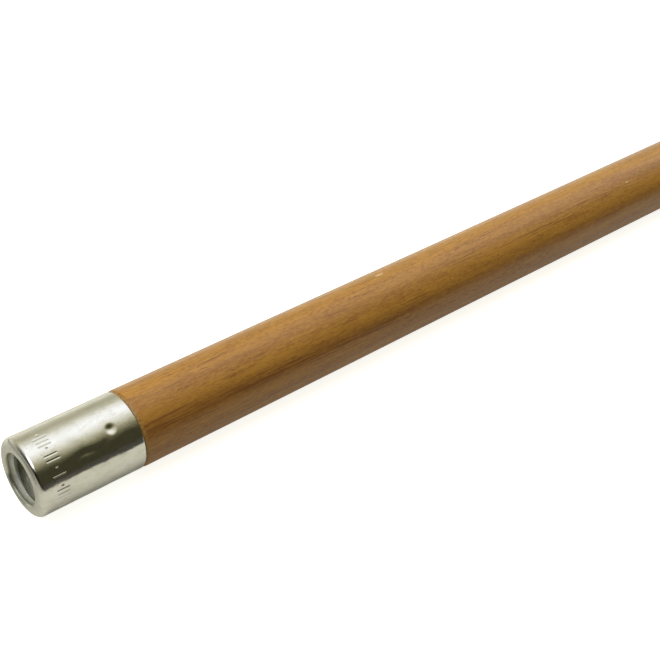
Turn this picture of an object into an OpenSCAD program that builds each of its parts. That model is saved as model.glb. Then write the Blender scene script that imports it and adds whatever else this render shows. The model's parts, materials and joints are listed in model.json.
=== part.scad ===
// Roller extension pole: a turned hardwood pole with a crimped steel ferrule at one end.
// The ferrule is a drawn sheet-metal shell that holds a steel bush with a female pole thread.
// The pole lies along +X. The origin is the centre of the ferrule's mouth, +Z is up.
// Angles round the pole are measured from +Z towards -Y.

/* [Pole] */
// Diameter of the wooden pole
pole_d = 28.6; // [27:0.1:32]
// Length of the whole pole, ferrule included
overall_len = 1220; // [300:10:1800]
// Rounding of the pole's far end
end_round = 9; // [2:0.5:13]
// Width of the chamfer where the wood meets the ferrule
wood_chamfer = 1.2; // [0.4:0.1:2]

/* [Ferrule shell] */
// Outside diameter of the shell
ferrule_d = 28.4; // [26.8:0.1:31.8]
// Length of the shell
ferrule_len = 39.6; // [36:0.2:60]
// Thickness of the sheet
sheet_t = 1.3; // [0.8:0.1:1.6]
// How far the rounded shoulder at the mouth reaches inwards from the outside
shoulder_in = 3.4; // [2:0.1:3.6]
// How far the rounded shoulder reaches back from the mouth
shoulder_back = 2.2; // [1.8:0.1:2.6]
// Diameter of the hole in the mouth
lip_d = 18.8; // [18.6:0.1:19.6]

/* [Threaded bush] */
// Length of the bush
bush_len = 22; // [12:1:24]
// Bore of the bush, over the crests of its thread
thread_minor_d = 16.6; // [16:0.1:17]
// Diameter at the root of the thread
thread_major_d = 18.9; // [18.6:0.1:19.4]
// Pitch of the thread, five turns to the inch
thread_pitch = 5.08; // [5.08:0.01:6]
// Number of knurl flutes round the outside
flute_count = 24; // [12:1:36]

/* [Crimps] */
// Number of punched crimps that hold the shell on the wood
crimp_count = 3; // [2:1:4]
// Distance of the crimps from the shell's rear edge
crimp_back = 9.4; // [7:0.1:10]
// Depth of each crimp
crimp_depth = 0.7; // [0.5:0.1:1.2]
// Radius of the round-nosed punch
punch_r = 2.8; // [2.6:0.1:3.6]
// Angle of the first crimp
crimp_angle = 39; // [0:1:90]

/* [Stamped marks] */
// Number of groups of bars and dots stamped round the mouth
mark_count = 6; // [1:1:8]
// Angle of the first group
mark_angle = -12; // [-40:1:0]
// Angle from one group to the next
mark_step = 26; // [24:1:40]
// Depth of the marks
mark_depth = 0.15; // [0.1:0.05:0.4]

/* [Hidden] */
$fn = 96;
// clearance between neighbouring pieces
gap = 0.04;
arc_steps = 8;

pole_r = pole_d / 2;
shell_r = ferrule_d / 2;
shell_in_r = shell_r - sheet_t;
lip_r = lip_d / 2;
flat_r = shell_r - shoulder_in;
core_r = shell_in_r - gap;

bush_x = sheet_t + gap;
bush_end = bush_x + bush_len;
minor_r = thread_minor_d / 2;
major_r = thread_major_d / 2;
entry_chamfer = major_r - minor_r;
exit_chamfer = 0.6;
bush_edge = 1;
flute_r = 0.6;
flute_depth = 0.35;

// trapezoidal thread, 29 degrees between the flanks, half a pitch wide at mid height
flank = tan(14.5);
mid_half_w = thread_pitch / 4;
mid_r = (minor_r + major_r) / 2;
groove_in_r = minor_r - 0.5;
turn_steps = 36;
turns = ceil(bush_len / thread_pitch) + 1;

spigot_x = bush_end + gap;
spigot_edge = 0.8;
shoulder_x = ferrule_len + 0.3;
shoulder_step = 0.6;

crimp_x = ferrule_len - crimp_back;
// distance of the punch's centre from the pole's axis
punch_at = shell_r - crimp_depth + punch_r;
dent_r = punch_r + sheet_t;

mark_x = 8.2;
mark_len = 4.8;
mark_w = 0.5;
mark_pitch = 7;

// points on an ellipse with half widths rx and ry, from angle a to angle b
function arc(cx, cy, rx, ry, a, b) =
    [for (i = [0:arc_steps]) let (t = a + (b - a) * i / arc_steps) [cx + rx * cos(t), cy + ry * sin(t)]];

// an outline of (radius, distance from the mouth) turned round the pole's axis
module turned(outline) {
    rotate([0, 90, 0])
        rotate_extrude()
            polygon(outline);
}

// places its children at angle a round the pole, x from the mouth and r out from the axis
module around(a, x = 0, r = 0) {
    rotate([a, 0, 0])
        translate([x, 0, r])
            children();
}

module at_crimps() {
    for (i = [0:crimp_count - 1])
        around(crimp_angle + i * 360 / crimp_count, crimp_x, punch_at)
            children();
}

// turned hardwood: a spigot inside the shell, a chamfered shoulder, the pole and its rounded end
module wooden_pole() {
    color("peru")
        difference() {
            turned(concat(
                [
                    [0, spigot_x],
                    [core_r - spigot_edge, spigot_x],
                    [core_r, spigot_x + spigot_edge],
                    [core_r, shoulder_x],
                    [pole_r - shoulder_step, shoulder_x],
                    [pole_r, shoulder_x + wood_chamfer]
                ],
                arc(pole_r - end_round, overall_len - end_round, end_round, end_round, 0, 90),
                [[0, overall_len]]
            ));
            at_crimps()
                sphere(r = dent_r + gap);
        }
}

// drawn steel sleeve with a rounded shoulder and a turned-in lip
module shell_blank() {
    turned(concat(
        [[lip_r, 0]],
        arc(flat_r, shoulder_back, shoulder_in, shoulder_back, -90, 0),
        [[shell_r, ferrule_len], [shell_in_r, ferrule_len]],
        arc(flat_r, shoulder_back, shoulder_in - sheet_t, shoulder_back - sheet_t, 0, -90),
        [[lip_r, sheet_t]]
    ));
}

// the sheet that each crimp pushes inwards
module crimp_bosses() {
    intersection() {
        at_crimps()
            sphere(r = dent_r);
        translate([crimp_x - 2 * punch_r, 0, 0])
            rotate([0, 90, 0])
                cylinder(h = 4 * punch_r, r = shell_r - sheet_t / 2);
    }
}

module mark_bar(a) {
    around(a, mark_x, shell_r - mark_depth)
        translate([-mark_len / 2, -mark_w / 2, 0])
            cube([mark_len, mark_w, 1]);
}

module mark_dot(a) {
    around(a, mark_x, shell_r - mark_depth)
        cylinder(h = 1, r = mark_w, $fn = 24);
}

// plain groups of one to three bars, with a dot between one group and the next
module stamped_marks() {
    for (i = [0:mark_count - 1]) {
        bars = 1 + (i * 2) % 3;
        for (k = [0:bars - 1])
            mark_bar(mark_angle + i * mark_step + (k - (bars - 1) / 2) * mark_pitch);
        mark_dot(mark_angle + (i + 0.5) * mark_step);
    }
}

module ferrule_shell() {
    color("silver")
        difference() {
            union() {
                shell_blank();
                crimp_bosses();
            }
            at_crimps()
                sphere(r = punch_r);
            stamped_marks();
        }
}

// half the width of the thread's groove at radius r
function groove_half_w(r) = mid_half_w - flank * (r - mid_r);

// the four corners of the groove at angle a, running down the bush
function groove_ring(a) =
    let (x = bush_x - thread_pitch + thread_pitch * a / 360)
    [for (c = [[groove_in_r, -1], [major_r, -1], [major_r, 1], [groove_in_r, 1]])
        [x + c[1] * groove_half_w(c[0]), -c[0] * sin(a), c[0] * cos(a)]];

// right-hand helical groove, longer than the bush at both ends
module thread_groove() {
    rings = turns * turn_steps;
    points = [for (i = [0:rings]) each groove_ring(i * 360 / turn_steps)];
    sides = [for (i = [0:rings - 1], j = [0:3])
        let (p = 4 * i + j, q = 4 * i + (j + 1) % 4)
        each [[p, q, q + 4], [p, q + 4, p + 4]]];
    last = 4 * rings;
    ends = [[3, 2, 1, 0], [last, last + 1, last + 2, last + 3]];
    polyhedron(points, concat(ends, sides));
}

// steel bush: a female thread inside, knurl flutes outside, its front corner rounded to fit the shell
module threaded_bush() {
    color("darkgray")
        difference() {
            turned(concat(
                [[major_r, bush_x]],
                arc(flat_r, shoulder_back, core_r - flat_r, shoulder_back - bush_x, -90, 0),
                [
                    [core_r, bush_end - bush_edge],
                    [core_r - bush_edge, bush_end],
                    [minor_r + exit_chamfer, bush_end],
                    [minor_r, bush_end - exit_chamfer],
                    [minor_r, bush_x + entry_chamfer]
                ]
            ));
            for (i = [0:flute_count - 1])
                around(i * 360 / flute_count, bush_x - 1, core_r + flute_r - flute_depth)
                    rotate([0, 90, 0])
                        cylinder(h = bush_len + 2, r = flute_r, $fn = 24);
            thread_groove();
        }
}

wooden_pole();
ferrule_shell();
threaded_bush();
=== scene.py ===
"""Visual model of a roller extension pole: a lacquered wooden pole with a crimped, zinc-plated ferrule.

Lengths are millimetres until a mesh is made. The pole lies along +X, the origin is the centre of the
ferrule's mouth, and +Z is up. Angles round the pole are measured from +Z towards -Y.
"""

import json
import math

import bmesh
import bpy
import numpy as np
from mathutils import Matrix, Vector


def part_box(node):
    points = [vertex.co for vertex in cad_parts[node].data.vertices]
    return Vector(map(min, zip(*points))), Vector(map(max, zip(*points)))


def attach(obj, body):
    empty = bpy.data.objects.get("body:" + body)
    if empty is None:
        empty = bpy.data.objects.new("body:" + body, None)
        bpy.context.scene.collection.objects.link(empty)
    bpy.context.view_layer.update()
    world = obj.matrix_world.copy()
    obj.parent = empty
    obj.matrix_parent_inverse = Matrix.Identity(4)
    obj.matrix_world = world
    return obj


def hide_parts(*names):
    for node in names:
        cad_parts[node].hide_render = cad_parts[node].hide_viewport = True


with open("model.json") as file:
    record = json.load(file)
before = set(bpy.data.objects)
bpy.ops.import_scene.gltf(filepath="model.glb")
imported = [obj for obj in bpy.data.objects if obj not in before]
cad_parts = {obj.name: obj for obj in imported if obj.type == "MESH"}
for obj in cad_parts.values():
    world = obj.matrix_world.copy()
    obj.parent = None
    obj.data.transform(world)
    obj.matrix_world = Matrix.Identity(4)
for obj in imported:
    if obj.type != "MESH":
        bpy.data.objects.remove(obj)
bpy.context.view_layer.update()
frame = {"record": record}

MM = 0.001
TURN = 2 * math.pi
# edges that turn by more than this stay sharp
SHARP_EDGE = math.radians(35)
# points closer than this are joined after a cut
WELD = 0.001
# a cut has to leave less than this part of the piece
MOST_LEFT = 0.99


def mount_size(name):
    """A mount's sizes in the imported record."""
    for mount in frame["record"]["mounts"]:
        if mount["name"] == name:
            return mount["dims"]
    raise KeyError(name)


def ends(node):
    """Where a CAD node starts and stops along the pole."""
    low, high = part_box(node)
    return round(low.x / MM, 2), round(high.x / MM, 2)


# sizes that the frame gives
POLE_R = mount_size("pole_shaft")["r_mm"]
THREAD_MINOR_R = mount_size("thread_socket")["r_mm"]
SPIGOT_X, POLE_END = ends("wooden_pole")
SHELL_END = ends("ferrule_shell")[1]
BUSH_X, BUSH_END = ends("threaded_bush")

# ferrule shell
SHELL_R = 14.2
SHEET = 1.3
SHOULDER_IN = 3.4
SHOULDER_BACK = 2.2
FLAT_R = SHELL_R - SHOULDER_IN
LIP_R = 9.4
LIP_ROUND = 0.6
EDGE_ROUND = 0.25
INNER_ROUND = 0.15

# threaded bush
THREAD_MAJOR_R = 9.45
PITCH = 5.08
FLANK = math.tan(math.radians(14.5))
CREST_BREAK = 0.18
ROOT_ROUND = 0.25
# how far the entry chamfer starts outside the thread's root
ENTRY_LAND = 0.03
EXIT_CHAMFER = 0.6
BUSH_EDGE = 1.0
FLUTES = 24
FLUTE_DEPTH = 0.35
BUSH_STEPS = 240
CUTTER_STEPS = 96
# part of a step by which the cutter is turned, so that its points fall between those of the bush
CUTTER_TURN = 0.41

# wooden pole
SPIGOT_R = SHELL_R - SHEET - 0.04
SPIGOT_EDGE = 0.8
WOOD_X = SHELL_END + 0.3
WOOD_STEP = 0.6
WOOD_CHAMFER = 1.2
END_ROUND = 9.0
POLE_STEPS = 256
TORN_DEPTH = 0.14

# crimps
CRIMP_X = SHELL_END - 9.4
CRIMP_ANGLES = (39, 159, 279)
CRIMP_R = 2.4
CRIMP_DEPTH = 0.48
# the soft drag round each crimp
DRAG_R = 5
DRAG_DEPTH = 0.12
# how far from a crimp the sheet needs a finer mesh, inside it and on the wood too
CRIMP_NEAR = 4

# flats that the clamp left beside each crimp, nearer the mouth and further round
CLAMP_AHEAD = 11
CLAMP_TURN = 17
CLAMP_LENGTH = 6
CLAMP_WIDTH = 1.2
CLAMP_DEPTH = 0.24

# unevenness of the sheet and of the wood. The base keeps the waves from rising above the true surface
SHEET_WAVE = 0.009
SHEET_WAVE_BASE = 2.8
WOOD_WAVE = 0.012
WOOD_WAVE_BASE = 2.2

# stamped groups of bars and dots
MARK_X = 8.2
MARK_GROUPS = (1, 3, 2, 1, 3, 2)
MARK_ANGLE = -12
MARK_STEP = 26
MARK_PITCH = 7
MARK_HALF = 2.4
MARK_W = 0.5
MARK_DEPTH = 0.13
# how far a mark's sloping wall reaches inside and outside its edge
MARK_WALL_IN = 0.18
MARK_WALL_OUT = 0.16
# the weakest stroke of the stamp, as a part of the full one
WEAK_HIT = 0.7

# a band of long dark strokes in the grain, with a broad darker tint round it that is partly painted shade
BAND_ANGLE = 62
BAND_DRIFT = 0.13
BAND_END = 210

# a chip in the lacquer
CHIP_X = 159.0
CHIP_ANGLE = -7.5
CHIP_HALF_LENGTH = 2.4
CHIP_DEPTH = 0.22
CHIP_NEAR = 4
# bare spots as (place along the pole, angle, half length): the chip and a small fleck
BARE_SPOTS = ((CHIP_X, CHIP_ANGLE, CHIP_HALF_LENGTH), (298.9, 35.0, 1.2))
# how many times longer than wide a bare spot is
BARE_SHAPE = 2.6


# ---------------------------------------------------------------- outlines and meshes

def span(start, stop, step):
    """Values from start up to, but not including, stop, about a step apart."""
    count = max(1, round(abs(stop - start) / step))
    return [start + (stop - start) * i / count for i in range(count)]


def line(start, stop, step):
    """Points (x, r) from start up to, but not including, stop."""
    count = len(span(0, math.dist(start, stop), step))
    return [(start[0] + (stop[0] - start[0]) * i / count, start[1] + (stop[1] - start[1]) * i / count)
            for i in range(count)]


def arc(x, r, along, out, start, stop, steps):
    """Points on an ellipse round (x, r). Angle 0 points along the pole and 90 away from its axis."""
    turns = [math.radians(start + (stop - start) * i / steps) for i in range(steps + 1)]
    return [(x + along * math.cos(t), r + out * math.sin(t)) for t in turns]


def ring_points(x, r, angle):
    """Points round the pole, in metres."""
    return np.stack((x, -r * np.sin(angle), r * np.cos(angle)), axis=-1).reshape(-1, 3) * MM


def grid_faces(rows, columns, closed):
    """Quads between neighbouring rows of points, each row a ring of columns points."""
    i, j = np.meshgrid(np.arange(rows if closed else rows - 1), np.arange(columns), indexing="ij")
    here, there = i * columns, (i + 1) % rows * columns
    k = (j + 1) % columns
    return np.stack((here + j, here + k, there + k, there + j), axis=-1).reshape(-1, 4).tolist()


def make_piece(name, points, faces, material):
    """A smooth-shaded object made from points and faces."""
    mesh = bpy.data.meshes.new(name)
    mesh.from_pydata(points.tolist(), [], faces)
    mesh.update()
    piece = bpy.data.objects.new(name, mesh)
    bpy.context.scene.collection.objects.link(piece)
    mesh.materials.append(material)
    smooth(mesh)
    return piece


def smooth(mesh):
    """Smooth shading that keeps the sharp edges."""
    mesh.shade_smooth()
    mesh.set_sharp_from_angle(angle=SHARP_EDGE)


def spin(name, outline, angles, material, change=None):
    """A closed outline of (x, r) points turned round the pole's axis.

    An outline that starts and stops on the axis gets one shared point at each end. change(x, r, angle)
    returns the radius at each point, so that dents and waves are part of the shape.
    """
    on_axis = outline[0][1] == 0
    rows = outline[1:-1] if on_axis else outline
    x, angle = np.meshgrid([p[0] for p in rows], angles, indexing="ij")
    r = np.meshgrid([p[1] for p in rows], angles, indexing="ij")[0]
    if change:
        r = change(x, r, angle)
    points = ring_points(x, r, angle)
    columns = len(angles)
    faces = grid_faces(len(rows), columns, not on_axis)
    if on_axis:
        tips = np.array([[outline[0][0], 0, 0], [outline[-1][0], 0, 0]]) * MM
        first, last = len(points), len(points) + 1
        back = (len(rows) - 1) * columns
        faces += [[first, (j + 1) % columns, j] for j in range(columns)]
        faces += [[last, back + j, back + (j + 1) % columns] for j in range(columns)]
        points = np.concatenate((points, tips))
    return make_piece(name, points, faces, material)


def volume(mesh):
    """The space inside a closed mesh, positive when its faces point outwards."""
    mesh.calc_loop_triangles()
    spots = [[mesh.vertices[i].co for i in triangle.vertices] for triangle in mesh.loop_triangles]
    corners = np.array(spots)
    return np.sum(corners[:, 0] * np.cross(corners[:, 1], corners[:, 2])) / 6


def weld(mesh):
    """Joins points that are almost in one place."""
    shape = bmesh.new()
    shape.from_mesh(mesh)
    bmesh.ops.remove_doubles(shape, verts=shape.verts, dist=WELD * MM)
    shape.to_mesh(mesh)
    shape.free()


def cut(piece, tool):
    """Takes the tool's shape out of a piece for good, and deletes the tool."""
    if volume(tool.data) <= 0:
        raise ValueError("the faces of " + tool.name + " point inwards")
    before = volume(piece.data)
    change = piece.modifiers.new("cut", "BOOLEAN")
    change.operation = "DIFFERENCE"
    change.solver = "EXACT"
    change.object = tool
    graph = bpy.context.evaluated_depsgraph_get()
    mesh = bpy.data.meshes.new_from_object(piece.evaluated_get(graph))
    weld(mesh)
    if volume(mesh) >= MOST_LEFT * before:
        raise ValueError(tool.name + " took nothing away")
    piece.modifiers.clear()
    piece.data = mesh
    bpy.data.objects.remove(tool)
    smooth(mesh)


# ---------------------------------------------------------------- shapes pressed into the surface

def away(angle, centre):
    """Signed angle from a centre given in degrees, in radians between -pi and pi."""
    return (angle - math.radians(centre) + math.pi) % TURN - math.pi


def smoothstep(value, low, high):
    """0 at low, 1 at high and smooth between them."""
    t = np.clip((value - low) / (high - low), 0, 1)
    return t * t * (3 - 2 * t)


def crimp_depth(x, angle):
    """How far the round-nosed punch pushed the sheet in, with the soft drag round each crimp."""
    depth = np.zeros_like(x)
    for centre in CRIMP_ANGLES:
        d = np.hypot(x - CRIMP_X, SHELL_R * away(angle, centre))
        depth += CRIMP_DEPTH * (1 - smoothstep(d, 0, CRIMP_R))
        depth += DRAG_DEPTH * np.exp(-(d / DRAG_R) ** 2)
    return depth


def shallow_dents(x, angle):
    """Flats left beside each crimp by the clamp that held the ferrule."""
    depth = np.zeros_like(x)
    for centre in CRIMP_ANGLES:
        ahead = x - CRIMP_X + CLAMP_AHEAD
        bend = 0.010 * ahead + 0.05 * np.sin(0.45 * x)
        along = ahead / CLAMP_LENGTH
        across = SHELL_R * (away(angle, centre + CLAMP_TURN) + bend) / CLAMP_WIDTH
        depth += CLAMP_DEPTH * np.exp(-along ** 2 - across ** 2)
    return depth


def sheet_waves(x, angle):
    """The slight unevenness of drawn sheet."""
    wave = np.sin(3 * angle + 0.16 * x) + 0.6 * np.sin(5 * angle - 0.37 * x + 1)
    wave += 0.7 * np.sin(9 * angle + 0.61 * x + 2) + 0.5 * np.sin(14 * angle - 0.9 * x)
    return SHEET_WAVE * (SHEET_WAVE_BASE + wave)


def stamp_depth(x, angle):
    """Depth of the stamped bars and dots, each struck a little differently."""
    hits = np.random.default_rng(11)
    depth = np.zeros_like(x)
    for group, bars in enumerate(MARK_GROUPS):
        middle = MARK_ANGLE + group * MARK_STEP
        for bar in range(bars):
            centre = middle + (bar - (bars - 1) / 2) * MARK_PITCH
            off_line = SHELL_R * away(angle, centre)
            past_end = np.maximum(np.abs(x - MARK_X) - MARK_HALF + MARK_W / 2, 0)
            struck = pressed(np.hypot(off_line, past_end), MARK_W / 2)
            depth = np.maximum(depth, hits.uniform(WEAK_HIT, 1) * struck)
        dot = np.hypot(SHELL_R * away(angle, middle + MARK_STEP / 2), x - MARK_X)
        depth = np.maximum(depth, hits.uniform(WEAK_HIT, 1) * pressed(dot, MARK_W))
    return depth


def pressed(distance, half_width):
    """1 inside a stamped line and 0 outside it, with a sloping wall."""
    return 1 - smoothstep(distance, half_width - MARK_WALL_IN, half_width + MARK_WALL_OUT)


# ---------------------------------------------------------------- node helpers

def new_node(tree, kind, inputs=None, **settings):
    """Adds a shader node. inputs maps a socket to a value or to the output that feeds it."""
    node = tree.nodes.new("ShaderNode" + kind)
    for name, value in settings.items():
        setattr(node, name, value)
    for name, value in (inputs or {}).items():
        if isinstance(value, bpy.types.NodeSocket):
            tree.links.new(value, node.inputs[name])
        else:
            node.inputs[name].default_value = value
    return node


def calc(tree, operation, first, second=0.0, clamp=False):
    """A Math node's result."""
    return new_node(tree, "Math", {0: first, 1: second}, operation=operation, use_clamp=clamp).outputs[0]


def remap(tree, value, low, high, to_low=0.0, to_high=1.0):
    """value taken smoothly from low..high to to_low..to_high."""
    inputs = {"Value": value, "From Min": low, "From Max": high, "To Min": to_low, "To Max": to_high}
    return new_node(tree, "MapRange", inputs, interpolation_type="SMOOTHSTEP").outputs[0]


def mixed(tree, factor, first, second, how="MIX"):
    """Two colours mixed."""
    node = new_node(tree, "Mix", {0: factor, 6: first, 7: second}, data_type="RGBA", blend_type=how)
    return node.outputs[2]


def rgb(r, g, b):
    """A colour socket's value."""
    return (r, g, b, 1.0)


def place(tree):
    """The point on the piece, in millimetres."""
    spot = new_node(tree, "TexCoord").outputs["Object"]
    return new_node(tree, "VectorMath", {0: spot, "Scale": 1 / MM}, operation="SCALE").outputs[0]


def stretched(tree, along, across, shift=0.0):
    """Texture space in which one unit is along by across millimetres of the piece."""
    size = (1 / along, 1 / across, 1 / across)
    inputs = {"Vector": place(tree), "Scale": size, "Location": (shift,) * 3}
    return new_node(tree, "Mapping", inputs).outputs[0]


def hypotenuse(tree, first, second):
    """The long side of a right-angled triangle."""
    squares = calc(tree, "ADD", calc(tree, "POWER", first, 2.0), calc(tree, "POWER", second, 2.0))
    return calc(tree, "SQRT", squares)


def axis_distance(tree):
    """Distance from the pole's axis, in millimetres."""
    x, y, z = new_node(tree, "SeparateXYZ", {0: place(tree)}).outputs
    return hypotenuse(tree, y, z)


def noise(tree, space, detail=2.0, roughness=0.5, distortion=0.0):
    """Smooth noise, about 0 to 1."""
    inputs = {"Vector": space, "Scale": 1.0, "Detail": detail, "Roughness": roughness}
    return new_node(tree, "TexNoise", {**inputs, "Distortion": distortion}).outputs[0]


def fill_ramp(tree, value, stops):
    """A colour ramp's result, with a stop for each (position, (r, g, b))."""
    ramp = new_node(tree, "ValToRGB", {0: value})
    elements = ramp.color_ramp.elements
    while len(elements) < len(stops):
        elements.new(0.5)
    for element, (position, colour) in zip(elements, stops):
        element.position = position
        element.color = rgb(*colour)
    return ramp.outputs[0]


def specks(tree, space, size, soft):
    """1 at the middle of scattered specks and 0 between them. size is a part of the texture's unit."""
    cells = new_node(tree, "TexVoronoi", {"Vector": space, "Scale": 1.0, "Randomness": 1.0})
    return remap(tree, cells.outputs["Distance"], size - soft, size + soft, 1.0, 0.0)


def bump(tree, height, distance, strength=1.0, under=None):
    """A normal tilted by a height. distance is millimetres, and under is a bump that this one adds to."""
    inputs = {"Height": height, "Distance": distance * MM, "Strength": strength}
    if under:
        inputs["Normal"] = under
    return new_node(tree, "Bump", inputs).outputs[0]


def new_material(name):
    """An empty material with its Principled shader joined to the output."""
    material = bpy.data.materials.new(name)
    material.use_nodes = True
    tree = material.node_tree
    tree.nodes.clear()
    shader = new_node(tree, "BsdfPrincipled")
    new_node(tree, "OutputMaterial", {"Surface": shader.outputs[0]})
    return material, tree, shader


def feed(tree, shader, sockets):
    """Sets or joins the shader's sockets."""
    for name, value in sockets.items():
        if isinstance(value, bpy.types.NodeSocket):
            tree.links.new(value, shader.inputs[name])
        else:
            shader.inputs[name].default_value = value


# ---------------------------------------------------------------- materials

# the wood's colours
WOOD_PALE = rgb(0.50, 0.244, 0.036)
WOOD_DEEP = rgb(0.30, 0.128, 0.023)
FLECK_PALE = rgb(0.58, 0.31, 0.050)
FLECK_DEEP = rgb(0.24, 0.096, 0.020)
# heartwood tone, which on the lower near side is partly painted shade
HEARTWOOD_AND_SHADE = rgb(0.20, 0.084, 0.024)
PORE = rgb(0.14, 0.052, 0.011)
STROKE = rgb(0.13, 0.050, 0.015)
# darker tint round the band of strokes: partly the wood's figure, partly painted shade
BAND_FIGURE_AND_SHADE = rgb(0.19, 0.070, 0.018)
END_GRAIN = rgb(0.17, 0.078, 0.024)
SAWN = rgb(0.33, 0.19, 0.050)
SAWN_CRUMB = rgb(0.10, 0.056, 0.018)
BARE_WOOD = rgb(0.72, 0.51, 0.24)

# the pith is outside the pole, so that the growth rings run lengthwise on its side
PITH_Y = -26.0
PITH_Z = -34.0
RING_WIDTH = 4.4


def stained_colour(tree, pith, fibre, streak, mottle, fleck):
    """The stained wood's colour, from its rings, streaks, mottle, fibres and flecks, and a darker
    heartwood side that is partly painted shade.
    """
    wander = noise(tree, stretched(tree, 190, 16), 3.0)
    ring = calc(tree, "MULTIPLY", pith, 1 / RING_WIDTH)
    ring = calc(tree, "PINGPONG", calc(tree, "ADD", ring, calc(tree, "MULTIPLY", wander, 3.0)), 1.0)
    tone = calc(tree, "MULTIPLY", ring, 0.20)
    for part, weight in ((streak, 0.38), (mottle, 0.40), (fibre, 0.34)):
        tone = calc(tree, "ADD", tone, calc(tree, "MULTIPLY", part, weight))
    colour = mixed(tree, remap(tree, tone, 0.36, 0.94), WOOD_PALE, WOOD_DEEP)
    colour = mixed(tree, remap(tree, fleck, 0.44, 0.66, 0.0, 0.28), colour, FLECK_PALE)
    colour = mixed(tree, remap(tree, fleck, 0.50, 0.32, 0.0, 0.28), colour, FLECK_DEEP)
    # the heartwood nearer the pith is darker. The pith lies below the near side, so this darkening of the
    # lower near side is partly painted shade
    heart_and_shade = remap(tree, pith, 56.0, 38.0)
    return mixed(tree, calc(tree, "MULTIPLY", heart_and_shade, 0.18), colour, HEARTWOOD_AND_SHADE)


def open_pores(tree, streak, end_grain):
    """Short dark dashes, closer together where the wood is darker and fewer on the end grain."""
    crowd = remap(tree, streak, 0.42, 0.62, 0.30, 1.0)
    dashes = specks(tree, stretched(tree, 3.4, 0.9, 2.0), 0.24, 0.12)
    fine = specks(tree, stretched(tree, 1.7, 0.55, 7.0), 0.26, 0.12)
    pores = calc(tree, "MAXIMUM", dashes, calc(tree, "MULTIPLY", fine, 0.7))
    pores = calc(tree, "MULTIPLY", pores, crowd)
    side_grain = calc(tree, "SUBTRACT", 1.0, calc(tree, "MULTIPLY", end_grain, 0.7))
    return calc(tree, "MULTIPLY", pores, side_grain)


def late_wood(tree, colour, x, y, z):
    """Long dark strokes of late wood, thickest in one band that runs back from the ferrule. Round the
    band the wood is tinted darker, partly its own figure and partly painted shade.
    """
    strokes = noise(tree, stretched(tree, 24, 0.6, 14.0), 3.0, 0.6)
    turn = calc(tree, "ARCTAN2", calc(tree, "MULTIPLY", y, -1.0), z)
    drift = calc(tree, "MULTIPLY", calc(tree, "SUBTRACT", x, WOOD_X), math.radians(BAND_DRIFT))
    centre = calc(tree, "ADD", drift, math.radians(BAND_ANGLE))
    off_band = calc(tree, "ABSOLUTE", calc(tree, "SUBTRACT", turn, centre))
    band = remap(tree, off_band, math.radians(2), math.radians(14), 1.0, 0.0)
    band = calc(tree, "MULTIPLY", band, remap(tree, x, BAND_END - 90, BAND_END, 1.0, 0.0))
    stroke_from = calc(tree, "SUBTRACT", 0.61, calc(tree, "MULTIPLY", band, 0.11))
    lines = calc(tree, "MULTIPLY", calc(tree, "SUBTRACT", strokes, stroke_from), 1 / 0.06, True)
    colour = mixed(tree, calc(tree, "MULTIPLY", lines, 0.62), colour, STROKE)
    # a broad darker tint round the band, partly the wood's figure and partly painted shade on the lower
    # near side
    shade = remap(tree, off_band, math.radians(3), math.radians(26), 0.30, 0.0)
    shade = calc(tree, "MULTIPLY", shade, remap(tree, x, BAND_END - 150, BAND_END, 1.0, 0.2))
    return mixed(tree, shade, colour, BAND_FIGURE_AND_SHADE)


def bare_spots(tree, fleck):
    """1 where the lacquer has chipped off and 0 where it is whole."""
    chip = 0.0
    for along, degrees, half_length in BARE_SPOTS:
        turn = math.radians(degrees)
        centre = (along, -POLE_R * math.sin(turn), POLE_R * math.cos(turn))
        off = new_node(tree, "VectorMath", {0: place(tree), 1: centre}, operation="SUBTRACT").outputs[0]
        squeeze = (1 / half_length, BARE_SHAPE / half_length, BARE_SHAPE / half_length)
        off = new_node(tree, "VectorMath", {0: off, 1: squeeze}, operation="MULTIPLY").outputs[0]
        off = new_node(tree, "VectorMath", {0: off}, operation="LENGTH").outputs["Value"]
        off = calc(tree, "ADD", off, calc(tree, "MULTIPLY", fleck, 0.9))
        chip = calc(tree, "MAXIMUM", chip, remap(tree, off, 1.05, 1.45, 1.0, 0.0))
    return chip


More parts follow.
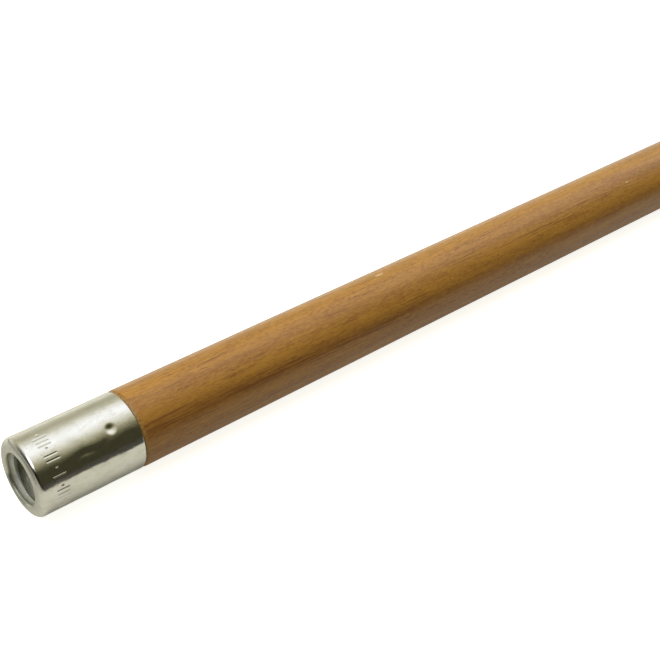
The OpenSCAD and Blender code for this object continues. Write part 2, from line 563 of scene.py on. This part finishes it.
def lacquered_wood():
    """Stained and lacquered hardwood: growth rings, fibres, open pores, darker end grain."""
    material, tree, shader = new_material("lacquered_wood")
    x, y, z = new_node(tree, "SeparateXYZ", {0: place(tree)}).outputs
    pith = hypotenuse(tree, calc(tree, "SUBTRACT", y, PITH_Y), calc(tree, "SUBTRACT", z, PITH_Z))
    fibre = noise(tree, stretched(tree, 26, 0.5), 5.0, 0.7)
    streak = noise(tree, stretched(tree, 60, 2.2, 5.0), 4.0, 0.6, 0.3)
    mottle = noise(tree, stretched(tree, 11, 1.7, 9.0), 4.0, 0.65)
    fleck = noise(tree, stretched(tree, 2.6, 0.7, 3.0), 3.0, 0.6)
    normal = new_node(tree, "NewGeometry").outputs["Normal"]
    facing = new_node(tree, "SeparateXYZ", {0: normal}).outputs[0]
    end_grain = remap(tree, calc(tree, "ABSOLUTE", facing), 0.35, 0.95)

    colour = stained_colour(tree, pith, fibre, streak, mottle, fleck)
    pores = open_pores(tree, streak, end_grain)
    colour = mixed(tree, calc(tree, "MULTIPLY", pores, 0.50), colour, PORE)
    colour = late_wood(tree, colour, x, y, z)
    # end grain drinks more stain
    colour = mixed(tree, calc(tree, "MULTIPLY", end_grain, 0.5), colour, END_GRAIN)

    # the sawn shoulder beside the ferrule is bare, paler and rough
    sawn_to = calc(tree, "ADD", x, calc(tree, "MULTIPLY", mottle, 0.9))
    bare = remap(tree, sawn_to, WOOD_X + WOOD_CHAMFER, WOOD_X + WOOD_CHAMFER + 0.5, 1.0, 0.0)
    crumbs = specks(tree, stretched(tree, 0.9, 0.7, 4.0), 0.32, 0.20)
    sawn = mixed(tree, crumbs, SAWN, SAWN_CRUMB)
    colour = mixed(tree, calc(tree, "MULTIPLY", bare, 0.8), colour, sawn)
    chip = bare_spots(tree, fleck)
    colour = mixed(tree, calc(tree, "MULTIPLY", chip, 0.70), colour, BARE_WOOD)

    dull = calc(tree, "MAXIMUM", bare, chip)
    dull = calc(tree, "MAXIMUM", dull, calc(tree, "MULTIPLY", end_grain, 0.6))
    rough = remap(tree, fibre, 0.3, 0.7, 0.40, 0.52)
    rough = calc(tree, "ADD", rough, calc(tree, "MULTIPLY", dull, 0.3), True)
    height = calc(tree, "SUBTRACT", calc(tree, "MULTIPLY", fibre, 0.35), pores)
    rubble = calc(tree, "MULTIPLY", calc(tree, "MULTIPLY", crumbs, bare), 1.5)
    height = calc(tree, "SUBTRACT", height, rubble)
    relief = bump(tree, height, 0.05, 0.7)
    relief = bump(tree, mottle, 0.10, 0.35, relief)
    feed(tree, shader, {
        "Base Color": colour, "Roughness": rough, "Normal": relief,
        "Specular IOR Level": 0.15, "Coat Weight": 0.8, "Coat Roughness": 0.25, "Coat IOR": 1.4,
    })
    return material


# the metals' colours
ZINC = rgb(0.82, 0.81, 0.73)
ZINC_CLOUD = rgb(0.76, 0.75, 0.66)
ZINC_FILM = rgb(0.60, 0.59, 0.46)
ZINC_SPOT = rgb(0.45, 0.43, 0.34)
# painted shade for the low side of the flat round the hole
LIP_PAINTED_SHADE = rgb(0.22, 0.23, 0.16)
STAMP_DIRT = rgb(0.40, 0.39, 0.32)
STEEL = rgb(0.66, 0.68, 0.64)
STEEL_CLOUD = rgb(0.50, 0.51, 0.39)
OIL = rgb(0.22, 0.22, 0.14)


def lip_painted_shade(tree, cloud):
    """Painted shade: how far the flat round the hole is darkened, on its low side towards +Y, where it
    reflects the shadowed floor under the mouth.
    """
    x, y, z = new_node(tree, "SeparateXYZ", {0: place(tree)}).outputs
    turn = calc(tree, "ARCTAN2", y, calc(tree, "MULTIPLY", z, -1.0))
    turn = calc(tree, "ADD", turn, calc(tree, "MULTIPLY", cloud, 0.2))
    light = remap(tree, turn, math.radians(-10), math.radians(10), 0.0, 0.38)
    heavy = remap(tree, turn, math.radians(38), math.radians(52), 0.0, 0.40)
    amount = calc(tree, "ADD", light, heavy)
    past = remap(tree, turn, math.radians(68), math.radians(80), 1.0, 0.0)
    rim = remap(tree, axis_distance(tree), 11.2, 12.6, 1.0, 0.0)
    front = remap(tree, x, 0.5, 1.2, 1.0, 0.0)
    for limit in (past, rim, front):
        amount = calc(tree, "MULTIPLY", amount, limit)
    return amount


def zinc_plated_sheet():
    """Bright zinc plating on drawn sheet: faint yellow cast, draw lines, dull spots, dirty stamps, and
    painted shade on the low side of the lip.
    """
    material, tree, shader = new_material("zinc_plated_sheet")
    cloud = noise(tree, stretched(tree, 9, 7), 4.0, 0.6)
    film = noise(tree, stretched(tree, 4, 2.5, 12.0), 4.0, 0.65, 0.4)
    draw = noise(tree, stretched(tree, 14, 0.35, 2.0), 3.0, 0.6)
    grain = noise(tree, stretched(tree, 0.5, 0.5, 5.0), 3.0, 0.6)
    spots = specks(tree, stretched(tree, 3.2, 2.6, 8.0), 0.10, 0.06)
    colour = mixed(tree, remap(tree, cloud, 0.3, 0.7), ZINC, ZINC_CLOUD)
    colour = mixed(tree, remap(tree, film, 0.42, 0.70, 0.0, 0.40), colour, ZINC_FILM)
    colour = mixed(tree, calc(tree, "MULTIPLY", spots, 0.35), colour, ZINC_SPOT)
    # painted shade on the low side of the flat round the hole
    colour = mixed(tree, lip_painted_shade(tree, cloud), colour, LIP_PAINTED_SHADE)
    dirt = new_node(tree, "Attribute", attribute_name="stamped").outputs["Fac"]
    colour = mixed(tree, calc(tree, "MULTIPLY", dirt, 0.35), colour, STAMP_DIRT)
    rough = remap(tree, cloud, 0.3, 0.7, 0.09, 0.15)
    rough = calc(tree, "ADD", rough, remap(tree, draw, 0.35, 0.7, 0.0, 0.05))
    rough = calc(tree, "ADD", rough, calc(tree, "MULTIPLY", spots, 0.12))
    rough = calc(tree, "ADD", rough, calc(tree, "MULTIPLY", dirt, 0.15))
    # the sheared edge of the hole, and the inside of the sheet, are duller
    sheared = remap(tree, axis_distance(tree), LIP_R + 0.05, LIP_R + 0.35, 0.34, 0.0)
    rough = calc(tree, "ADD", rough, sheared, True)
    relief = bump(tree, draw, 0.012, 0.5)
    relief = bump(tree, grain, 0.010, 0.3, relief)
    relief = bump(tree, cloud, 0.20, 0.5, relief)
    feed(tree, shader, {"Base Color": colour, "Metallic": 1.0, "Roughness": rough, "Normal": relief})
    return material


def plated_steel():
    """Turned steel with a dull plating, tool marks round the bore and oil in the thread's root."""
    material, tree, shader = new_material("plated_steel")
    oil = remap(tree, axis_distance(tree), THREAD_MINOR_R + 0.3, THREAD_MAJOR_R)
    tool = noise(tree, stretched(tree, 0.16, 9.0), 2.0)
    cloud = noise(tree, stretched(tree, 4, 4, 6.0), 3.0)
    colour = mixed(tree, remap(tree, cloud, 0.3, 0.7), STEEL, STEEL_CLOUD)
    colour = mixed(tree, calc(tree, "MULTIPLY", oil, 0.45), colour, OIL)
    rough = remap(tree, tool, 0.3, 0.7, 0.34, 0.48)
    rough = calc(tree, "ADD", rough, calc(tree, "MULTIPLY", oil, 0.1))
    relief = bump(tree, tool, 0.02, 0.6)
    feed(tree, shader, {"Base Color": colour, "Metallic": 0.65, "Roughness": rough, "Normal": relief})
    return material


# ---------------------------------------------------------------- ferrule shell

def shell_outline():
    """Once round the section of the drawn sheet, from the lip's front edge outwards."""
    in_r = SHELL_R - SHEET
    marks_from = MARK_X - MARK_HALF - 0.5
    marks_to = MARK_X + MARK_HALF + 0.5
    zones = (
        (SHOULDER_BACK, marks_from, 0.6),
        (marks_from, marks_to, 0.15),
        (marks_to, CRIMP_X - 6, 0.9),
        (CRIMP_X - 6, CRIMP_X - 2.8, 0.45),
        (CRIMP_X - 2.8, CRIMP_X + 2.8, 0.2),
        (CRIMP_X + 2.8, SHELL_END - EDGE_ROUND, 0.6),
    )
    inside = (
        (SHELL_END - INNER_ROUND, CRIMP_X + CRIMP_NEAR, 1.2),
        (CRIMP_X + CRIMP_NEAR, CRIMP_X - CRIMP_NEAR, 0.4),
        (CRIMP_X - CRIMP_NEAR, SHOULDER_BACK, 2.5),
    )
    points = arc(LIP_ROUND, LIP_R + LIP_ROUND, LIP_ROUND, LIP_ROUND, 270, 180, 8)
    points += line((0, LIP_R + LIP_ROUND + 0.25), (0, FLAT_R), 0.25)
    points += arc(SHOULDER_BACK, FLAT_R, SHOULDER_BACK, SHOULDER_IN, 180, 90, 26)[:-1]
    points += [(x, SHELL_R) for start, stop, step in zones for x in span(start, stop, step)]
    points += arc(SHELL_END - EDGE_ROUND, SHELL_R - EDGE_ROUND, EDGE_ROUND, EDGE_ROUND, 90, 0, 4)
    points += arc(SHELL_END - INNER_ROUND, in_r + INNER_ROUND, INNER_ROUND, INNER_ROUND, 0, -90, 3)[:-1]
    points += [(x, in_r) for start, stop, step in inside for x in span(start, stop, step)]
    points += arc(SHOULDER_BACK, FLAT_R, SHOULDER_BACK - SHEET, SHOULDER_IN - SHEET, 90, 180, 8)
    points += arc(SHEET - INNER_ROUND, LIP_R + INNER_ROUND, INNER_ROUND, INNER_ROUND, 0, -90, 3)
    return points


def shell_angles():
    """Angles round the shell, closer together where the stamps are."""
    first = MARK_ANGLE - 10
    last = MARK_ANGLE + len(MARK_GROUPS) * MARK_STEP
    degrees = span(first, last, 0.5) + span(last, first + 360, 1.25)
    return np.radians(degrees)


def shell_shape(x, r, angle):
    """Crimps go through the sheet, stamps and waves are only in its outer side."""
    outside = smoothstep(r, SHELL_R - 0.5 * SHEET, SHELL_R - 0.1 * SHEET)
    r = r - crimp_depth(x, angle)
    r = r - outside * MARK_DEPTH * stamp_depth(x, angle)
    return r - outside * (sheet_waves(x, angle) + shallow_dents(x, angle))


def add_stamped(piece):
    """Keeps how deep each point is stamped, for the dirt in the marks."""
    points = np.empty(len(piece.data.vertices) * 3, np.float32)
    piece.data.vertices.foreach_get("co", points)
    x, y, z = points.reshape(-1, 3).T / MM
    outer = np.hypot(y, z) > SHELL_R - 0.5 * SHEET
    depth = np.where(outer, stamp_depth(x, np.arctan2(-y, z)), 0)
    stamped = piece.data.attributes.new("stamped", "FLOAT", "POINT")
    stamped.data.foreach_set("value", depth.astype(np.float32))


def make_ferrule_shell():
    sheet = zinc_plated_sheet()
    piece = spin("ferrule_shell_drawn", shell_outline(), shell_angles(), sheet, shell_shape)
    add_stamped(piece)
    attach(piece, "root")
    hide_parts("ferrule_shell")


# ---------------------------------------------------------------- threaded bush

def groove_half_width(r):
    """Half the width of the thread's groove at radius r."""
    return PITCH / 4 - FLANK * (r - (THREAD_MINOR_R + THREAD_MAJOR_R) / 2)


def groove_section():
    """Half of the thread groove's section as (width, radius), from inside the bore to the root."""
    crest = THREAD_MINOR_R + CREST_BREAK
    width = groove_half_width(crest)
    root = groove_half_width(THREAD_MAJOR_R) - ROOT_ROUND
    half = [(width + 2 * CREST_BREAK, THREAD_MINOR_R - CREST_BREAK), (width, crest)]
    for step in range(4):
        t = math.radians(90 * step / 3)
        rise = ROOT_ROUND * (1 - math.sin(t))
        half.append((root + ROOT_ROUND * math.cos(t), THREAD_MAJOR_R - rise))
    return half


def thread_cutter(material):
    """The thread's groove as a solid, longer than the bush at both ends."""
    half = groove_section()
    section = [(w, r) for w, r in half] + [(-w, r) for w, r in reversed(half)]
    rings = (math.ceil((BUSH_END - BUSH_X) / PITCH) + 1) * CUTTER_STEPS
    angle = (np.arange(rings + 1) + CUTTER_TURN) * TURN / CUTTER_STEPS
    middle = BUSH_X + PITCH * (angle / TURN - 1)
    x = middle[:, None] + np.array([w for w, r in section])
    r = np.repeat([[r for w, r in section]], rings + 1, axis=0)
    points = ring_points(x, r, np.repeat(angle[:, None], len(section), axis=1))
    faces = grid_faces(rings + 1, len(section), False)
    last = rings * len(section)
    faces.append(list(reversed(range(len(section)))))
    faces.append(list(range(last, last + len(section))))
    return make_piece("thread_cutter", points, faces, material)


def bush_outline():
    """Once round the bush's section, with a front corner that follows the shell's shoulder."""
    entry = THREAD_MAJOR_R + ENTRY_LAND - THREAD_MINOR_R
    corner = arc(SHOULDER_BACK, FLAT_R, SHOULDER_BACK - BUSH_X, SPIGOT_R - FLAT_R, 180, 90, 8)
    return [(BUSH_X, THREAD_MAJOR_R + ENTRY_LAND)] + corner + [
        (BUSH_END - BUSH_EDGE, SPIGOT_R),
        (BUSH_END, SPIGOT_R - BUSH_EDGE),
        (BUSH_END, THREAD_MINOR_R + EXIT_CHAMFER),
        (BUSH_END - EXIT_CHAMFER, THREAD_MINOR_R),
        (BUSH_X + entry, THREAD_MINOR_R),
    ]


def fluted(x, r, angle):
    """Knurl flutes round the outside of the bush."""
    flute = np.maximum(np.cos(FLUTES * angle), 0) ** 2
    return np.where(r > SPIGOT_R - 0.01, r - FLUTE_DEPTH * flute, r)


def make_threaded_bush():
    steel = plated_steel()
    angles = np.arange(BUSH_STEPS) * TURN / BUSH_STEPS
    piece = spin("threaded_bush_turned", bush_outline(), angles, steel, fluted)
    cut(piece, thread_cutter(steel))
    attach(piece, "root")
    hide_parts("threaded_bush")


# ---------------------------------------------------------------- wooden pole

def pole_outline():
    """From the spigot's tip to the rounded far end."""
    rounding = POLE_END - END_ROUND
    points = [(SPIGOT_X, 0), (SPIGOT_X, SPIGOT_R / 2), (SPIGOT_X, SPIGOT_R - SPIGOT_EDGE)]
    points += line((SPIGOT_X + SPIGOT_EDGE, SPIGOT_R), (CRIMP_X - CRIMP_NEAR, SPIGOT_R), 1.2)
    points += line((CRIMP_X - CRIMP_NEAR, SPIGOT_R), (CRIMP_X + CRIMP_NEAR, SPIGOT_R), 0.4)
    points += line((CRIMP_X + CRIMP_NEAR, SPIGOT_R), (WOOD_X, SPIGOT_R), 1.2)
    points += line((WOOD_X, SPIGOT_R), (WOOD_X, POLE_R - WOOD_STEP), 0.4)
    points += line((WOOD_X, POLE_R - WOOD_STEP), (WOOD_X + WOOD_CHAMFER, POLE_R), 0.15)
    points += line((WOOD_X + WOOD_CHAMFER, POLE_R), (WOOD_X + WOOD_CHAMFER + 2, POLE_R), 0.25)
    points += line((WOOD_X + WOOD_CHAMFER + 2, POLE_R), (CHIP_X - CHIP_NEAR, POLE_R), 4)
    points += line((CHIP_X - CHIP_NEAR, POLE_R), (CHIP_X + CHIP_NEAR, POLE_R), 0.4)
    points += line((CHIP_X + CHIP_NEAR, POLE_R), (rounding, POLE_R), 8)
    points += arc(rounding, POLE_R - END_ROUND, END_ROUND, END_ROUND, 90, 0, 14)
    points += [(POLE_END, (POLE_R - END_ROUND) / 2), (POLE_END, 0)]
    return points


def turned_wood(x, r, angle):
    """Crimp hollows in the spigot, a ragged sawn shoulder, a chip, and the pole's slight unevenness."""
    spigot = (x > SPIGOT_X + SPIGOT_EDGE) & (x < WOOD_X) & (r > SPIGOT_R - 0.01)
    r = np.where(spigot, r - crimp_depth(x, angle), r)
    side = smoothstep(x, WOOD_X + WOOD_CHAMFER + 1, WOOD_X + WOOD_CHAMFER + 8)
    side = side * smoothstep(r, POLE_R - END_ROUND, POLE_R)
    wave = np.sin(0.031 * x + 1) + 0.7 * np.sin(2 * angle + 0.053 * x)
    wave += 0.5 * np.sin(3 * angle - 0.11 * x)
    r = r - side * WOOD_WAVE * (WOOD_WAVE_BASE + wave)
    shoulder = smoothstep(x, WOOD_X - 0.1, WOOD_X + 0.1) * (1 - side) * (r > SPIGOT_R + 0.4)
    torn = np.random.default_rng(5).uniform(0, 1, r.shape)
    torn = (torn + np.roll(torn, 1, 1) + np.roll(torn, -1, 1) + np.roll(torn, 1, 0)) / 4
    r = r - shoulder * (1 - smoothstep(x, WOOD_X + 1, WOOD_X + 2.2)) * TORN_DEPTH * torn
    chip = np.hypot((x - CHIP_X) / CHIP_HALF_LENGTH, POLE_R * away(angle, CHIP_ANGLE))
    return r - CHIP_DEPTH * np.clip(1 - chip, 0, 1)


def make_wooden_pole():
    angles = np.arange(POLE_STEPS) * TURN / POLE_STEPS
    piece = spin("wooden_pole_turned", pole_outline(), angles, lacquered_wood(), turned_wood)
    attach(piece, "root")
    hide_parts("wooden_pole")


# ---------------------------------------------------------------- floor, light and camera

# how pale the floor is, as the metal and the wood see it, by distance behind the pole in millimetres. The
# dimmer stretch just behind the pole is painted shadow of the pole, and the dark end in front stands for
# the dark room
FLOOR = ((-80, 0.06), (-76, 0.50), (-14, 0.50), (4, 0.44), (40, 0.44), (100, 0.75))
FLOOR_REACH = 200.0
FLOOR_TINT = (1.0, 0.98, 0.87)
FLOOR_HALF = 20.0
# what the camera sees of the floor
FLOOR_PALE = rgb(0.50, 0.50, 0.48)
FLOOR_GLOW = 0.90
GLOW_TINT = rgb(1, 0.99, 0.94)


def pale_floor():
    """The camera sees plain pale paper. The pole sees paper that ends in the dark room in front of it.

    As the pole sees it, the paper also darkens past the mouth and in a stretch behind the pole, as
    painted shade, and glows a little in front of the pole, as painted light.
    """
    material = bpy.data.materials.new("pale_floor")
    material.use_nodes = True
    tree = material.node_tree
    tree.nodes.clear()
    x, y, z = new_node(tree, "SeparateXYZ", {0: place(tree)}).outputs
    across = calc(tree, "ADD", calc(tree, "MULTIPLY", y, 1 / FLOOR_REACH), 0.5, True)
    stops = [(behind / FLOOR_REACH + 0.5, [tone * t for t in FLOOR_TINT]) for behind, tone in FLOOR]
    ramp = fill_ramp(tree, across, stops)
    # painted shade: the paper darkens past the mouth, towards -X
    shade = remap(tree, x, -60.0, -14.0, 0.45, 1.0)
    paper = new_node(tree, "VectorMath", {0: ramp, "Scale": shade}, operation="SCALE").outputs[0]
    seen = new_node(tree, "LightPath").outputs["Is Camera Ray"]
    paper = mixed(tree, seen, paper, FLOOR_PALE)
    matt = new_node(tree, "BsdfDiffuse", {"Color": paper}).outputs[0]
    # painted light: for all rays but the camera's, the paper glows, more in front of the pole than behind
    # it, and not past the dark edge
    edge = remap(tree, y, -77.0, -75.0, 0.0, 1.0)
    front = calc(tree, "MULTIPLY", edge, remap(tree, y, -10.0, 5.0, 0.15, 0.03))
    glow = new_node(tree, "Mix", {0: seen, 2: front, 3: FLOOR_GLOW}).outputs[0]
    lift = new_node(tree, "Emission", {"Color": GLOW_TINT, "Strength": glow}).outputs[0]
    both = new_node(tree, "AddShader", {0: matt, 1: lift}).outputs[0]
    new_node(tree, "OutputMaterial", {"Surface": both})
    return material


def make_floor():
    """A plain pale floor that the pole lies on."""
    half = FLOOR_HALF
    z = -POLE_R * MM
    mesh = bpy.data.meshes.new("floor")
    corners = [(-half, -half, z), (half, -half, z), (half, half, z), (-half, half, z)]
    mesh.from_pydata(corners, [], [(0, 1, 2, 3)])
    floor = bpy.data.objects.new("floor", mesh)
    bpy.context.scene.collection.objects.link(floor)
    mesh.materials.append(pale_floor())


# the room's lights as bands round the pole. Degrees from straight up, towards the camera's side
SOFTBOX_MIDDLE = -10
SOFTBOX_REACH = 68
SOFTBOX_LIGHT = 1.17
WALL_TOP = -35
WALL_FOOT = -110
WALL_LIGHT = 0.95
DARK_ROOM_LIGHT = 0.05
# green and blue at no light at all. Both come up to red where the light is 1, so dim light is warmer
DIM_GREEN = 0.93
DIM_BLUE = 0.5
# the direction of the small lamp that the mouth's rim catches
LAMP = (-0.66, -0.18, 0.73)
LAMP_LIGHT = 2.5


def tinted(tree, level, dim_part):
    """A colour channel that is dim_part of the light where it is dim, and all of it where it is 1."""
    share = calc(tree, "ADD", calc(tree, "MULTIPLY", level, 1 - dim_part), dim_part)
    return calc(tree, "MULTIPLY", level, share)


def make_room():
    """Soft studio light: a wide overhead softbox, a pale wall behind, a dark room on the near side."""
    world = bpy.data.worlds.new("studio")
    bpy.context.scene.world = world
    world.use_nodes = True
    tree = world.node_tree
    tree.nodes.clear()
    way = new_node(tree, "TexCoord").outputs["Generated"]
    x, y, z = new_node(tree, "SeparateXYZ", {0: way}).outputs
    turn = calc(tree, "ARCTAN2", calc(tree, "MULTIPLY", y, -1.0), z)
    off_box = calc(tree, "ABSOLUTE", calc(tree, "SUBTRACT", turn, math.radians(SOFTBOX_MIDDLE)))
    softbox = remap(tree, off_box, 0.0, math.radians(SOFTBOX_REACH), SOFTBOX_LIGHT, 0.0)
    wall = remap(tree, turn, math.radians(WALL_TOP), math.radians(WALL_FOOT), 0.0, WALL_LIGHT)
    level = calc(tree, "ADD", calc(tree, "ADD", softbox, wall), DARK_ROOM_LIGHT)
    parts = {0: level, 1: tinted(tree, level, DIM_GREEN), 2: tinted(tree, level, DIM_BLUE)}
    light = new_node(tree, "CombineXYZ", parts).outputs[0]
    dim = remap(tree, x, -0.98, -0.35, 0.10, 1.0)
    light = new_node(tree, "VectorMath", {0: light, "Scale": dim}, operation="SCALE").outputs[0]
    lamp = new_node(tree, "VectorMath", {0: way, 1: LAMP}, operation="DOT_PRODUCT").outputs["Value"]
    lamp = remap(tree, lamp, 0.93, 0.995, 0.0, LAMP_LIGHT)
    light = new_node(tree, "VectorMath", {0: light, 1: lamp}, operation="ADD").outputs[0]
    seen = new_node(tree, "LightPath").outputs["Is Camera Ray"]
    light = mixed(tree, seen, light, rgb(1, 1, 1))
    back = new_node(tree, "Background", {"Color": light, "Strength": 1.0})
    new_node(tree, "OutputWorld", {"Surface": back.outputs[0]})


def make_key():
    """A broad key light from above, left out of the reflections that the room gives."""
    light = bpy.data.lights.new("key", "SUN")
    light.energy = 1.25
    light.angle = math.radians(40)
    light.color = (1.0, 0.98, 0.95)
    key = bpy.data.objects.new("key", light)
    key.rotation_euler = (math.radians(-8), math.radians(-25), 0)
    key.visible_glossy = False
    bpy.context.scene.collection.objects.link(key)


def make_camera():
    """Close to the mouth, looking down along the pole from the near side."""
    data = bpy.data.cameras.new("camera")
    data.sensor_width = 36.0
    data.lens = 68.18
    data.clip_start = 0.01
    camera = bpy.data.objects.new("camera", data)
    camera.location = (-0.12471, -0.30089, 0.26602)
    camera.rotation_euler = (math.radians(90 - 33.82), 0, math.radians(-40.52))
    bpy.context.scene.collection.objects.link(camera)
    bpy.context.scene.camera = camera


def set_picture():
    """Colours are shown as they are, with no film look."""
    view = bpy.context.scene.view_settings
    view.view_transform = "Standard"
    view.look = "None"


make_camera()
make_ferrule_shell()
make_threaded_bush()
make_wooden_pole()
make_floor()
make_room()
make_key()
set_picture()
